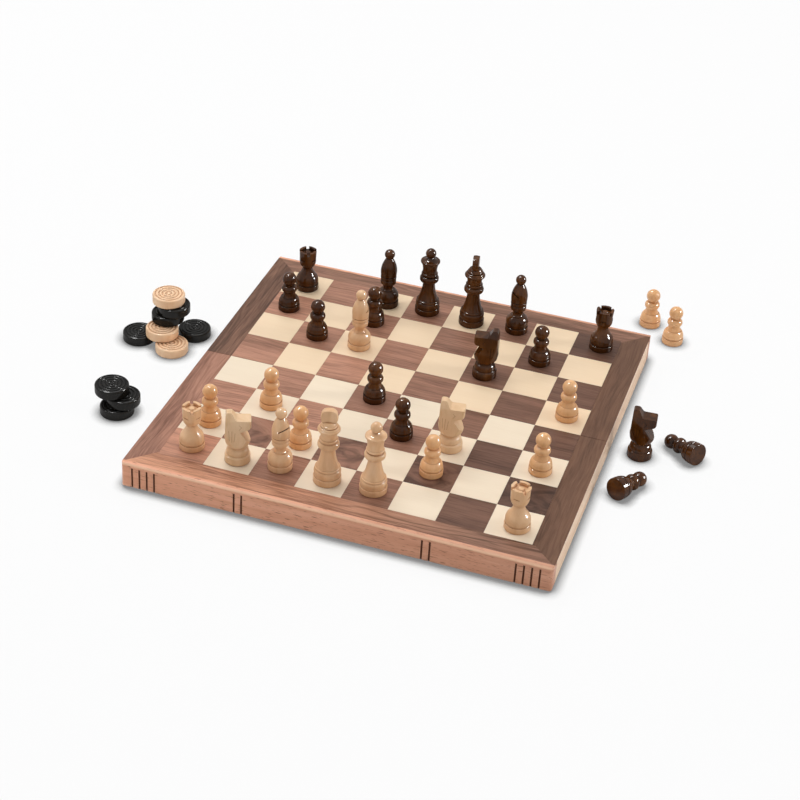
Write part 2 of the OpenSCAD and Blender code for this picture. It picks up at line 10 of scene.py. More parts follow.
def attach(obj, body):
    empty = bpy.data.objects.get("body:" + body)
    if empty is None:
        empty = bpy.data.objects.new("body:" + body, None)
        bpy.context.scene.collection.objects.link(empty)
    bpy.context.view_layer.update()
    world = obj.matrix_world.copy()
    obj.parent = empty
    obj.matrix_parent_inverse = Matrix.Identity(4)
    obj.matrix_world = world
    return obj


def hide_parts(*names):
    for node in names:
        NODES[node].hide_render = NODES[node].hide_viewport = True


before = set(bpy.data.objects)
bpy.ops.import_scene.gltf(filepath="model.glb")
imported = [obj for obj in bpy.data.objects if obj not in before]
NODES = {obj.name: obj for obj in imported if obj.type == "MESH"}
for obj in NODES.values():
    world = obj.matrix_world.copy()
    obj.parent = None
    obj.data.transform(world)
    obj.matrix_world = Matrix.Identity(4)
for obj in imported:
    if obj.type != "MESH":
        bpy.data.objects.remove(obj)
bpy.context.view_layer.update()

# Sizes from the CAD part, in metres
SQUARE = 0.038
HALF_FIELD = 4 * SQUARE
HALF_WIDTH = HALF_FIELD + 0.022
RAIL_TOP = 0.022
TABLE = -0.00165
# Middles of the saw cuts in the long rails, to either side, and the height that they reach
CUTS = [0.1458, 0.152, 0.1582, 0.1644, 0.0728, 0.079]
CUT_WIDTH = 0.0015
CUT_TOP = RAIL_TOP - 0.0032

HALVES = ("front", "rear")


# ---------------------------------------------------------------- node helpers


class Nodes:
    """Builds one material, a node at a time. A socket or a plain value may stand for any input."""

    def __init__(self, name):
        self.material = bpy.data.materials.new(name)
        self.material.use_nodes = True
        self.tree = self.material.node_tree
        self.tree.nodes.clear()

    def put(self, socket, value):
        if isinstance(value, bpy.types.NodeSocket):
            self.tree.links.new(value, socket)
        elif value is not None:
            if isinstance(value, tuple) and len(value) == 3 and socket.type == "RGBA":
                value = (*value, 1)
            socket.default_value = value

    def add(self, kind, inputs=(), out=0, **settings):
        made = self.tree.nodes.new("ShaderNode" + kind)
        for key, value in settings.items():
            setattr(made, key, value)
        for key, value in dict(inputs).items():
            self.put(made.inputs[key], value)
        return made.outputs[out]

    def math(self, operation, a, b=None, c=None):
        made = self.tree.nodes.new("ShaderNodeMath")
        made.operation = operation
        for socket, value in zip(made.inputs, (a, b, c)):
            self.put(socket, value)
        return made.outputs[0]

    def total(self, *values):
        result = values[0]
        for value in values[1:]:
            result = self.math("ADD", result, value)
        return result

    def product(self, *values):
        result = values[0]
        for value in values[1:]:
            result = self.math("MULTIPLY", result, value)
        return result

    def vector(self, operation, a, b=None, scale=None):
        made = self.tree.nodes.new("ShaderNodeVectorMath")
        made.operation = operation
        self.put(made.inputs[0], a)
        self.put(made.inputs[1], b)
        if scale is not None:
            self.put(made.inputs["Scale"], scale)
        return made.outputs["Value" if operation in ("LENGTH", "DOT_PRODUCT") else 0]

    def mix(self, factor, a, b, blend="MIX"):
        made = self.tree.nodes.new("ShaderNodeMix")
        made.data_type, made.blend_type, made.clamp_factor = "RGBA", blend, True
        for index, value in ((0, factor), (6, a), (7, b)):
            self.put(made.inputs[index], value)
        return made.outputs[2]

    def blend(self, factor, a, b):
        """A number between a and b."""
        return self.add("Mix", {0: factor, 2: a, 3: b}, data_type="FLOAT")

    def lighter(self, colour, value):
        """The colour with its brightness times value."""
        return self.add("HueSaturation", {"Value": value, "Color": colour})

    def span(self, value, low, high, to_low=0.0, to_high=1.0):
        """value from low..high to to_low..to_high, held at both ends."""
        return self.add("MapRange", {0: value, 1: low, 2: high, 3: to_low, 4: to_high})

    def ramp(self, factor, *stops):
        made = self.tree.nodes.new("ShaderNodeValToRGB")
        ramp = made.color_ramp
        while len(ramp.elements) < len(stops):
            ramp.elements.new(0.5)
        for element, (place, colour) in zip(ramp.elements, stops):
            element.position, element.color = place, (*colour, 1)
        self.put(made.inputs[0], factor)
        return made.outputs[0]

    def noise(self, place, scale=1.0, detail=2.0, roughness=0.5, distortion=0.0):
        sockets = {"Vector": place, "Scale": scale, "Detail": detail}
        sockets |= {"Roughness": roughness, "Distortion": distortion}
        return self.add("TexNoise", sockets)

    def object_place(self):
        return self.add("TexCoord", out=3)

    def split(self, place):
        made = self.tree.nodes.new("ShaderNodeSeparateXYZ")
        self.put(made.inputs[0], place)
        return made.outputs[0], made.outputs[1], made.outputs[2]

    def join(self, x, y, z):
        return self.add("CombineXYZ", {0: x, 1: y, 2: z})

    def bump(self, height, strength, distance, normal=None):
        sockets = {"Strength": strength, "Distance": distance, "Height": height}
        if normal is not None:
            sockets["Normal"] = normal
        return self.add("Bump", sockets)

    def finish(self, **sockets):
        """Ends in one Principled shader, its sockets named with _ for a space."""
        shader = self.tree.nodes.new("ShaderNodeBsdfPrincipled")
        for key, value in sockets.items():
            self.put(shader.inputs[key.replace("_", " ")], value)
        output = self.tree.nodes.new("ShaderNodeOutputMaterial")
        self.tree.links.new(shader.outputs[0], output.inputs[0])
        return self.material


def per_millimetre(n, place, x, y, z):
    """Place stretched for a texture: features about 1 / x mm long along X, and so on."""
    return n.vector("MULTIPLY", place, (1000 * x, 1000 * y, 1000 * z))


# ---------------------------------------------------------------- veneers

# Radius that a material gives to the sharp edges of rails and men
ROUNDED = 0.0004
SATIN_SHINE = 0.13


def edges(n, radius=0.0005):
    """0 on a flat, towards 1 on a sharp edge, where lacquer rubs thin."""
    rounded = n.add("Bevel", {"Radius": radius})
    true = n.add("NewGeometry", out=1)
    return n.span(n.vector("DOT_PRODUCT", rounded, true), 0.97, 0.72)


def painted_hollow_shade(n, colour, factor, distance, dark):
    """Painted shade: deepens a colour where the surface is hemmed in, where shade falls."""
    open_air = n.add("AmbientOcclusion", {"Distance": distance}, out=1)
    return n.mix(n.product(n.span(open_air, 0.45, 0.95, 1.0, 0.0), factor), colour, dark)


def leaf_grain(n, place, contrast=1.0, burl=None):
    """Tone of a sliced leaf about 0.5, and its fine lines. The grain runs along X.

    burl swirls it where it is 1.
    """
    bend = n.noise(per_millimetre(n, place, 0.010, 0.025, 0.03), detail=2)
    away = n.product(n.math("SUBTRACT", bend, 0.5), 0.012)
    bent = n.vector("ADD", place, n.join(0.0, away, 0.0))
    band = n.noise(per_millimetre(n, bent, 0.006, 0.09, 0.1), detail=2, roughness=0.5)
    streak = n.noise(per_millimetre(n, bent, 0.030, 0.55, 0.6), detail=3, roughness=0.65)
    line = n.noise(per_millimetre(n, bent, 0.06, 1.5, 1.5), detail=2, roughness=0.6)
    tone = n.total(n.product(band, 0.35), n.product(streak, 0.40), n.product(line, 0.25))
    if burl is not None:
        swirl = n.noise(per_millimetre(n, place, 0.030, 0.055, 0.05), detail=3, roughness=0.6, distortion=1.6)
        tone = n.blend(burl, tone, swirl)
    tone = n.total(n.product(n.math("SUBTRACT", tone, 0.5), contrast), 0.5)
    return tone, line


def growth_lines(n, place, pitch, sway):
    """Dark lines along X, pitch mm apart, which sway and fade as in a flat-sawn leaf."""
    x, y, z = n.split(place)
    drift = n.noise(per_millimetre(n, place, 0.009, 0.035, 0.03), detail=2)
    jitter = n.noise(per_millimetre(n, place, 0.03, 0.3, 0.3), detail=2)
    across = n.total(n.product(y, 1000 / pitch), n.product(drift, sway), n.product(jitter, 0.7))
    wave = n.math("SINE", n.product(across, 2 * math.pi))
    strength = n.span(n.noise(per_millimetre(n, place, 0.012, 0.10, 0.1), detail=1), 0.38, 0.62)
    return n.product(n.span(wave, 0.1, 1.0), strength)


def pores(n, place, size=1.0):
    """Short dark dashes along X."""
    dash = n.noise(per_millimetre(n, place, 0.20 / size, 3.0 / size, 3.0 / size), detail=1)
    return n.span(dash, 0.63, 0.76)


def lacquered(n, colour, height, gloss, relief=0.04, radius=0.0):
    """Satin lacquer over wood: most of the relief is filled. radius rounds the sharp edges."""
    fine = n.noise(per_millimetre(n, n.object_place(), 0.05, 0.05, 0.05), detail=2)
    rounded = n.add("Bevel", {"Radius": radius}) if radius else None
    return n.finish(
        Base_Color=colour,
        Roughness=n.span(fine, 0.3, 0.7, gloss - 0.05, gloss + 0.06),
        Specular_IOR_Level=SATIN_SHINE,
        Normal=n.bump(height, relief, 0.0004, rounded),
    )


# Tones of each wood, from its darkest grain to its palest, at GRAIN_STOPS
MAPLE_FRONT = ((0.82, 0.67, 0.49), (0.885, 0.745, 0.570), (0.90, 0.765, 0.590), (0.91, 0.78, 0.61))
MAPLE_REAR = ((0.82, 0.62, 0.41), (0.885, 0.680, 0.465), (0.90, 0.70, 0.485), (0.92, 0.72, 0.51))
WALNUT_SQUARE = ((0.17, 0.080, 0.050), (0.27, 0.132, 0.086), (0.34, 0.168, 0.110), (0.42, 0.212, 0.142))
WALNUT_PINK = ((0.24, 0.095, 0.050), (0.50, 0.232, 0.135), (0.66, 0.320, 0.190), (0.76, 0.38, 0.235))
WALNUT_DARK = ((0.060, 0.026, 0.014), (0.120, 0.056, 0.033), (0.185, 0.090, 0.055), (0.27, 0.135, 0.086))
WALNUT_LEFT = ((0.18, 0.075, 0.045), (0.30, 0.142, 0.094), (0.39, 0.190, 0.126), (0.47, 0.235, 0.158))
WALNUT_REAR = ((0.11, 0.050, 0.030), (0.205, 0.102, 0.065), (0.275, 0.140, 0.091), (0.35, 0.182, 0.120))
WALNUT_SIDE = ((0.070, 0.031, 0.017), (0.135, 0.066, 0.038), (0.175, 0.087, 0.051), (0.22, 0.112, 0.067))
GRAIN_STOPS = (0.34, 0.46, 0.54, 0.66)
# The rank whose dark squares are burl, counted from the fold, and how much darker they are
BURL_RANK = -3
BURL_SHADE = 0.78
# Shade of the dark squares: paler leaves at the left file, darker ones at the right
LEFT_SHADE, RIGHT_SHADE = 1.45, 0.47
LEFT_FILE, RIGHT_FILE = -3, 2.5
# Distance between the growth lines of the border in mm, and their sway in lines
FIGURE_PITCH = 5.5
FIGURE_SWAY = 7.0
# Where the front strip turns from pink wood to figured wood
PINK_END, FIGURED_START = -0.05, 0.11
# How far the mitres lie from the diagonals
MITRE_OFFSET = 0.0022


def square_material(name, tones, dark):
    """Each square is its own leaf: its own shade, and its own stretch of grain."""
    n = Nodes(name)
    place = n.object_place()
    x, y, z = n.split(place)
    file = n.math("FLOOR", n.math("DIVIDE", x, SQUARE))
    rank = n.math("FLOOR", n.math("DIVIDE", y, SQUARE))
    leaf = n.join(file, rank, 0.0)
    shade = n.add("TexWhiteNoise", {"Vector": n.vector("ADD", leaf, (7.3, 2.9, 4.4))})
    moved = n.vector("ADD", place, n.vector("SCALE", leaf, scale=1.7))
    if dark:
        burl = n.math("COMPARE", rank, BURL_RANK, 0.5)
        tone, line = leaf_grain(n, moved, 1.15, burl)
        across = n.span(file, LEFT_FILE, RIGHT_FILE, LEFT_SHADE, RIGHT_SHADE)
        light = n.product(across, n.span(shade, 0, 1, 0.78, 1.22))
        light = n.product(light, n.span(burl, 0, 1, 1.0, BURL_SHADE))
    else:
        tone, line = leaf_grain(n, moved, 0.5)
        light = n.span(shade, 0, 1, 0.97, 1.02)
    colour = n.ramp(tone, *zip(GRAIN_STOPS, tones))
    dashes = pores(n, moved)
    colour = n.mix(n.product(dashes, 0.45 if dark else 0.05), colour, tones[0])
    colour = n.lighter(colour, light)
    height = n.total(n.product(line, 0.6), n.product(dashes, -0.8))
    return lacquered(n, colour, height, 0.40)


def strip_colour(n, place, tones, lines, dark, contrast=1.2):
    """Colour and fine lines of one strip, its grain along X. lines is the strength of its figure."""
    tone, line = leaf_grain(n, place, contrast)
    colour = n.ramp(tone, *zip(GRAIN_STOPS, tones))
    figure = n.product(growth_lines(n, place, FIGURE_PITCH, FIGURE_SWAY), lines)
    return n.mix(figure, colour, dark), line


def border_material(half):
    """The strips at the fold's ends run along Y, and the long strip along X, met at mitres."""
    n = Nodes("border_" + half)
    place = n.object_place()
    x, y, z = n.split(place)
    along_x = n.join(x, n.math("ADD", y, 0.3), z)
    along_y = n.join(y, n.math("ADD", x, 0.4), z)
    if half == "front":
        # pink wood at the left end, and dark figured wood to the right
        pink, line_x = strip_colour(n, along_x, WALNUT_PINK, 0.55, WALNUT_PINK[0])
        figured, line_x = strip_colour(n, along_x, WALNUT_REAR, 0.9, WALNUT_DARK[0])
        colour_x = n.mix(n.span(x, PINK_END, FIGURED_START), pink, figured)
        left, line_y = strip_colour(n, along_y, WALNUT_LEFT, 0.45, WALNUT_LEFT[0])
    else:
        colour_x, line_x = strip_colour(n, along_x, WALNUT_REAR, 0.5, WALNUT_REAR[0])
        left, line_y = strip_colour(n, along_y, WALNUT_DARK, 0.5, WALNUT_DARK[0])
    right, line_y = strip_colour(n, along_y, WALNUT_SIDE, 0.45, WALNUT_SIDE[0], 0.8)
    colour_y = n.mix(n.math("GREATER_THAN", x, 0.0), left, right)
    past_diagonal = n.math("SUBTRACT", n.math("ABSOLUTE", x), n.math("ABSOLUTE", y))
    on_side = n.math("GREATER_THAN", past_diagonal, MITRE_OFFSET)
    colour = n.mix(on_side, colour_x, colour_y)
    dashes = n.blend(on_side, pores(n, place), pores(n, n.join(y, x, z)))
    colour = n.mix(n.product(dashes, 0.35), colour, WALNUT_DARK[0])
    height = n.blend(on_side, line_x, line_y)
    height = n.total(n.product(height, 0.6), n.product(dashes, -0.8))
    return lacquered(n, colour, height, 0.42)


# ---------------------------------------------------------------- solid woods


BEECH = ((0.62, 0.285, 0.172), (0.74, 0.365, 0.232), (0.82, 0.435, 0.290))
BEECH_STOPS = (0.32, 0.5, 0.68)
BEECH_FLECK = (0.25, 0.088, 0.045)
BEECH_PAINTED_HIGHLIGHT = (0.95, 0.63, 0.42)
BEECH_EDGE = (0.88, 0.56, 0.40)
CUT_DARK_BROWN = (0.110, 0.036, 0.014)
# Shade of the beech at its left end and at its right end
BEECH_LEFT, BEECH_RIGHT = 1.14, 0.84
BIRCH_STOPS = (0.36, 0.5, 0.64)
TURNED_STOPS = (0.30, 0.5, 0.70)


def beech_material(name):
    """Pinkish beech: faint bands, short dark flecks, and a painted highlight just below the upper edge."""
    n = Nodes(name)
    place = n.object_place()
    x, y, z = n.split(place)
    band = n.noise(per_millimetre(n, place, 0.008, 0.12, 0.16), detail=3, roughness=0.55)
    line = n.noise(per_millimetre(n, place, 0.04, 1.1, 1.1), detail=2)
    tone = n.total(n.product(band, 0.7), n.product(line, 0.3))
    colour = n.ramp(tone, *zip(BEECH_STOPS, BEECH))
    along = n.span(x, -HALF_WIDTH, HALF_WIDTH, BEECH_LEFT, BEECH_RIGHT)
    colour = n.lighter(colour, along)
    # flecks: narrow lens-shaped rays
    fleck = n.noise(per_millimetre(n, place, 0.13, 1.2, 1.2), detail=1.5, roughness=0.6)
    flecked = n.span(fleck, 0.62, 0.68)
    colour = n.mix(n.product(flecked, 0.7), colour, BEECH_FLECK)
    # painted highlight: a pale line just below the upper edge, on its rounding
    under = n.span(z, RAIL_TOP - 0.0022, RAIL_TOP - 0.0013)
    over = n.span(z, RAIL_TOP - 0.0007, RAIL_TOP - 0.0001, 1.0, 0.0)
    colour = n.mix(n.product(under, over, 0.7), colour, BEECH_PAINTED_HIGHLIGHT)
    # the insides of the saw cuts are coloured dark brown
    inside = None
    for place_x in CUTS:
        near = n.math("COMPARE", n.math("ABSOLUTE", x), place_x, CUT_WIDTH / 2 + 0.0001)
        inside = near if inside is None else n.math("MAXIMUM", inside, near)
    deep = n.math("LESS_THAN", n.math("ABSOLUTE", y), HALF_WIDTH - 0.00025)
    low = n.math("LESS_THAN", z, CUT_TOP)
    colour = n.mix(n.product(inside, deep, low), colour, CUT_DARK_BROWN)
    colour = n.mix(n.product(edges(n), 0.25), colour, BEECH_EDGE)
    height = n.total(n.product(line, 0.5), n.product(flecked, -0.6))
    return lacquered(n, colour, height, 0.44, 0.06, radius=ROUNDED)


def birch_material(name, tones, along="Y"):
    """Pale plain wood with soft streaks along its length."""
    n = Nodes(name)
    place = n.object_place()
    x, y, z = n.split(place)
    if along == "Y":
        place = n.join(y, x, z)
    band = n.noise(per_millimetre(n, place, 0.010, 0.25, 0.30), detail=4, roughness=0.6, distortion=0.3)
    line = n.noise(per_millimetre(n, place, 0.05, 1.6, 1.6), detail=2)
    tone = n.total(n.product(band, 0.65), n.product(line, 0.35))
    colour = n.ramp(tone, *zip(BIRCH_STOPS, tones))
    dashes = pores(n, place, 1.2)
    colour = n.mix(n.product(dashes, 0.25), colour, tuple(0.7 * c for c in tones[0]))
    colour = n.mix(n.product(edges(n), 0.3), colour, (0.95, 0.82, 0.64))
    # painted shade: the colour is darkened where the surface is hemmed in
    colour = painted_hollow_shade(n, colour, 0.3, 0.005, tuple(0.5 * c for c in tones[0]))
    return lacquered(n, colour, line, 0.46, 0.05)


def turned_material(name, tones, dark, gloss, shine, coat, axis=None, depth=0.7, lathe=0.3):
    """Turned wood: grain along the piece's own axis, and fine rings left by the lathe.

    dark is the colour of the painted shade in the hollows, at strength depth. gloss is the
    roughness of the lacquer, and lathe the strength of the rings. axis is the heading in degrees
    of a piece that lies down, and None for one that stands.
    """
    n = Nodes(name)
    place = n.object_place()
    if axis is not None:
        place = n.add("VectorRotate", {"Vector": place, "Angle": -math.radians(axis)}, rotation_type="Z_AXIS")
        x, y, z = n.split(place)
        place = n.join(z, y, x)
    band = n.noise(per_millimetre(n, place, 0.10, 0.10, 0.025), detail=2, roughness=0.5, distortion=0.5)
    line = n.noise(per_millimetre(n, place, 1.2, 1.2, 0.08), detail=2)
    tone = n.total(n.product(band, 0.82), n.product(line, 0.18))
    colour = n.ramp(tone, *zip(TURNED_STOPS, tones))
    # painted shade in the hollows: a narrow one from close surroundings, and a broad, weaker one
    colour = painted_hollow_shade(n, colour, depth, 0.0018, dark)
    colour = painted_hollow_shade(n, colour, 0.35 * depth, 0.009, dark)
    rings = n.noise(per_millimetre(n, place, 0.02, 0.02, 3.0), detail=2)
    relief = n.total(n.product(line, 0.4), n.product(rings, lathe))
    rounded = n.add("Bevel", {"Radius": ROUNDED})
    return n.finish(
        Base_Color=colour,
        Roughness=n.span(band, 0.3, 0.7, gloss - 0.04, gloss + 0.05),
        Specular_IOR_Level=shine,
        Coat_Weight=coat,
        Coat_Roughness=0.05,
        Normal=n.bump(relief, 0.08, 0.0003, rounded),
    )


def brass_material():
    n = Nodes("hinge_brass")
    place = n.object_place()
    brushed = n.noise(per_millimetre(n, place, 0.1, 3.0, 3.0), detail=2)
    stain = n.noise(per_millimetre(n, place, 0.12, 0.12, 0.12), detail=3)
    colour = n.ramp(stain, (0.35, (0.60, 0.40, 0.13)), (0.6, (0.80, 0.60, 0.26)))
    colour = n.mix(n.product(edges(n, 0.0002), 0.5), colour, (0.92, 0.76, 0.42))
    return n.finish(
        Base_Color=colour,
        Metallic=1.0,
        Roughness=n.span(brushed, 0.3, 0.7, 0.24, 0.40),
        Normal=n.bump(brushed, 0.08, 0.0002),
    )


def steel_material():
    n = Nodes("magnet_steel")
    place = n.object_place()
    brushed = n.noise(per_millimetre(n, place, 1.6, 1.6, 1.6), detail=2)
    colour = n.ramp(brushed, (0.35, (0.52, 0.53, 0.55)), (0.65, (0.70, 0.71, 0.73)))
    return n.finish(Base_Color=colour, Metallic=1.0, Roughness=n.span(brushed, 0.3, 0.7, 0.18, 0.3))


# Tones of the turned woods, and the painted shade in their hollows
BOXWOOD = ((0.70, 0.40, 0.205), (0.79, 0.485, 0.265), (0.85, 0.56, 0.330))
BOXWOOD_PAWN = ((0.74, 0.385, 0.160), (0.83, 0.465, 0.220), (0.89, 0.54, 0.285))
BOXWOOD_KNIGHT = ((0.72, 0.46, 0.245), (0.81, 0.55, 0.325), (0.87, 0.62, 0.390))
BOXWOOD_PAINTED_SHADE = (0.36, 0.13, 0.040)
STAINED = ((0.034, 0.0095, 0.0015), (0.070, 0.0215, 0.0035), (0.135, 0.0480, 0.0100))
STAINED_PAINTED_SHADE = (0.009, 0.003, 0.0012)
LIGHT_DISC = ((0.84, 0.54, 0.32), (0.91, 0.62, 0.395), (0.94, 0.69, 0.47))
BLACK = ((0.0075, 0.0068, 0.0058), (0.0105, 0.0095, 0.0080), (0.0165, 0.0150, 0.0125))
BLACK_PAINTED_SHADE = (0.003, 0.003, 0.003)
BIRCH_HINGE = ((0.80, 0.55, 0.36), (0.90, 0.70, 0.48), (0.94, 0.77, 0.57))
BIRCH_SIDE = ((0.74, 0.47, 0.31), (0.87, 0.62, 0.43), (0.93, 0.73, 0.55))
PANEL_WOOD = ((0.66, 0.50, 0.32), (0.76, 0.60, 0.41), (0.82, 0.68, 0.48))
# Headings in degrees of the men that lie down
LYING = {"dark_pawn_7": 146, "dark_pawn_8": 62}
MEN = ("king", "queen", "bishop", "knight", "rook", "pawn")


def paint(node, material):
    mesh = NODES[node].data
    mesh.materials.clear()
    mesh.materials.append(material)


beech = beech_material("beech_rail")
birch_side = birch_material("birch_side", BIRCH_SIDE)
birch_hinge = birch_material("birch_hinge", BIRCH_HINGE, "X")
panel_wood = birch_material("panel_wood", PANEL_WOOD, "X")
walnut = square_material("walnut_squares", WALNUT_SQUARE, True)
brass = brass_material()
steel = steel_material()

for half in HALVES:
    maple = square_material("maple_" + half, MAPLE_FRONT if half == "front" else MAPLE_REAR, False)
    paint(half + "_spine_rail", beech)
    paint(half + "_side_rails", birch_side)
    paint(half + "_hinge_rail", birch_hinge)
    paint(half + "_panel", panel_wood)
    paint(half + "_border_veneer", border_material(half))
    paint(half + "_light_squares", maple)
    paint(half + "_dark_squares", walnut)
    paint(half + "_light_points", maple)
    paint(half + "_dark_points", walnut)
    paint(half + "_hinge_leaves", brass)
    paint(half + "_hinge_screws", brass)
    paint(half + "_magnets", steel)
paint("hinge_pins", brass)


def light_man(kind, tones):
    name = "light_" + kind + "_wood"
    return turned_material(name, tones, BOXWOOD_PAINTED_SHADE, gloss=0.34, shine=0.10, coat=0.32)


def stained(name, axis=None):
    return turned_material(
        name, STAINED, STAINED_PAINTED_SHADE, gloss=0.30, shine=0.0, coat=0.45, axis=axis, depth=0.8, lathe=0.15
    )


LIGHT_MEN = {
    kind: light_man(kind, tones)
    for kind, tones in (("piece", BOXWOOD), ("pawn", BOXWOOD_PAWN), ("knight", BOXWOOD_KNIGHT))
}
light_disc = turned_material(
    "light_draught", LIGHT_DISC, BOXWOOD_PAINTED_SHADE, gloss=0.45, shine=0.15, coat=0.1, depth=0.5
)
black_disc = turned_material(
    "black_draught", BLACK, BLACK_PAINTED_SHADE, gloss=0.30, shine=0.0, coat=0.4, depth=0.5
)
dark_man = stained("dark_man")
for node in NODES:
    if "draughts" in node:
        paint(node, light_disc if node.startswith("light") else black_disc)
    elif node in LYING:
        paint(node, stained(node + "_wood", LYING[node]))
    elif node.startswith("light_") and node.split("_")[1] in MEN:
        paint(node, LIGHT_MEN.get(node.split("_")[1], LIGHT_MEN["piece"]))
    elif node.startswith("dark_") and node.split("_")[1] in MEN:
        paint(node, dark_man)


# ---------------------------------------------------------------- sawn knights

KNIGHT_RADIUS = 0.0102
KNIGHT_HEIGHT = 0.046
LATHE_SIDES = 96
# Faces that meet at less than this are shaded as one
SMOOTH_BELOW = math.radians(28)
# Which way each knight looks, in degrees from +X
KNIGHTS = {"light_knight_1": 22, "light_knight_2": 11, "dark_knight_1": 187, "dark_knight_2": 6}


def bulge(a, b, rise, steps=8):
    """Points of an arc from a up to b, which swells outwards by rise."""
    points = []
    for step in range(steps + 1):
        t = step / steps
        away = 4 * t * (1 - t) * rise
        points.append((a[0] + t * (b[0] - a[0]) + away, a[1] + t * (b[1] - a[1])))
    return points


def knight_profile():
    """The turned blank, in shares of the base's radius and of the height."""
    return [
        (0.95, 0.0), (1.0, 0.012), (1.0, 0.125), (0.985, 0.142), (0.92, 0.152), (0.89, 0.158),
        *bulge((0.86, 0.165), (0.79, 0.268), 0.045),
        (0.70, 0.284), (0.67, 0.30), (0.68, 0.315),
        *bulge((0.72, 0.325), (0.97, 0.42), 0.060),
        *bulge((1.0, 0.46), (1.1, 0.62), 0.0, 3),
        (1.1, 1.02),
    ]


# The horse from the side, facing +X, in shares of the radius and of the height: back, poll,
# crown, muzzle, throat and chest
HORSE_SIDE = [
    (-1.2, -0.1), (-1.2, 0.42), (-0.98, 0.50), (-0.92, 0.955), (-0.88, 0.98), (-0.80, 0.997),
    (-0.74, 1.0), (-0.56, 1.0), (-0.46, 0.992), (-0.39, 0.975), (-0.18, 0.89), (-0.11, 0.874),
    (-0.02, 0.868), (1.02, 0.860), (1.02, 0.735), (0.94, 0.722), (0.55, 0.692), (0.17, 0.655),
    (0.99, 0.42), (1.2, 0.40), (1.2, -0.1),
]
# Strokes on each flank: place along in radii, share of the height, length in radii, lean in
# degrees. STROKE is the side of their square in radii, and PROUD how many sides their middle
# stands out of the flank, so that none of their edges lies exactly in it.
MANE = [(-0.66, 0.60, 0.85, -4), (-0.45, 0.585, 0.95, 1), (-0.24, 0.57, 0.75, 6)]
CHEEK = [(0.20, 0.774, 0.28, -40), (0.20, 0.735, 0.28, 40)]
STROKE = 0.06
PROUD = 0.35


# Shares of the height at which the flanks' slopes start and end, and what they narrow to
FLANK_LOW, FLANK_HIGH = 0.36, 0.87
FLANK_WIDE, FLANK_TAPER = 0.90, 0.66


def flank(share):
    """Half the knight's thickness, in radii, at a share of his height."""
    return FLANK_WIDE - FLANK_TAPER * (share - FLANK_LOW)


def horse_front():
    """The horse from the front, wider than the blank below the flanks."""
    right = [(1.2, -0.1), (1.2, FLANK_LOW - 0.02), (flank(FLANK_LOW), FLANK_LOW)]
    right += [(flank(FLANK_HIGH), FLANK_HIGH), (0.26, 1.02)]
    return right + [(-across, up) for across, up in reversed(right)]


def solid(name, corners, faces):
    """A closed object with its faces outwards."""
    mesh = bpy.data.meshes.new(name)
    mesh.from_pydata(corners, [], faces)
    shape = bmesh.new()
    shape.from_mesh(mesh)
    bmesh.ops.recalc_face_normals(shape, faces=shape.faces)
    shape.to_mesh(mesh)
    shape.free()
    made = bpy.data.objects.new(name, mesh)
    bpy.context.scene.collection.objects.link(made)
    return made


def turned(name, profile):
    """The profile turned about Z, closed by a disc at each end."""
    corners, faces = [], []
    for across, up in profile:
        for side in range(LATHE_SIDES):
            angle = 2 * math.pi * side / LATHE_SIDES
            radius = across * KNIGHT_RADIUS
            corners.append((radius * math.cos(angle), radius * math.sin(angle), up * KNIGHT_HEIGHT))
    for ring in range(len(profile) - 1):
        for side in range(LATHE_SIDES):
            here = ring * LATHE_SIDES + side
            beside = ring * LATHE_SIDES + (side + 1) % LATHE_SIDES
            faces.append((here, beside, beside + LATHE_SIDES, here + LATHE_SIDES))
    faces.append(tuple(range(LATHE_SIDES)))
    faces.append(tuple(range(len(corners) - LATHE_SIDES, len(corners))))
    return solid(name, corners, faces)


def board_cut(name, outline, from_front):
    """The outline sawn straight through: seen from the side, or from the front."""
    reach = 2 * KNIGHT_RADIUS
    corners = []
    for depth in (-reach, reach):
        for across, up in outline:
            flat = (across * KNIGHT_RADIUS, depth)
            corners.append((*(reversed(flat) if from_front else flat), up * KNIGHT_HEIGHT))
    count = len(outline)
    faces = [tuple(range(count)), tuple(range(count, 2 * count))]
    faces += [(i, (i + 1) % count, (i + 1) % count + count, i + count) for i in range(count)]
    return solid(name, corners, faces)


def strokes(name, places):
    """Square rods laid corner first into both flanks, to be cut away from them."""
    shape = bmesh.new()
    slope = math.atan(FLANK_TAPER * KNIGHT_RADIUS / KNIGHT_HEIGHT)
    for side in (-1, 1):
        for along, share, length, lean in places:
            out = side * (flank(share) + PROUD * STROKE)
            place = Vector((along * KNIGHT_RADIUS, out * KNIGHT_RADIUS, share * KNIGHT_HEIGHT))
            turn = Matrix.Rotation(side * slope, 4, "X") @ Matrix.Rotation(math.radians(lean), 4, "Y")
            turn = turn @ Matrix.Rotation(math.radians(45), 4, "Z")
            width = STROKE * KNIGHT_RADIUS
            size = Matrix.Diagonal((width, width, length * KNIGHT_RADIUS, 1))
            bmesh.ops.create_cube(shape, size=1, matrix=Matrix.Translation(place) @ turn @ size)
    mesh = bpy.data.meshes.new(name)
    shape.to_mesh(mesh)
    shape.free()
    made = bpy.data.objects.new(name, mesh)
    bpy.context.scene.collection.objects.link(made)
    return made


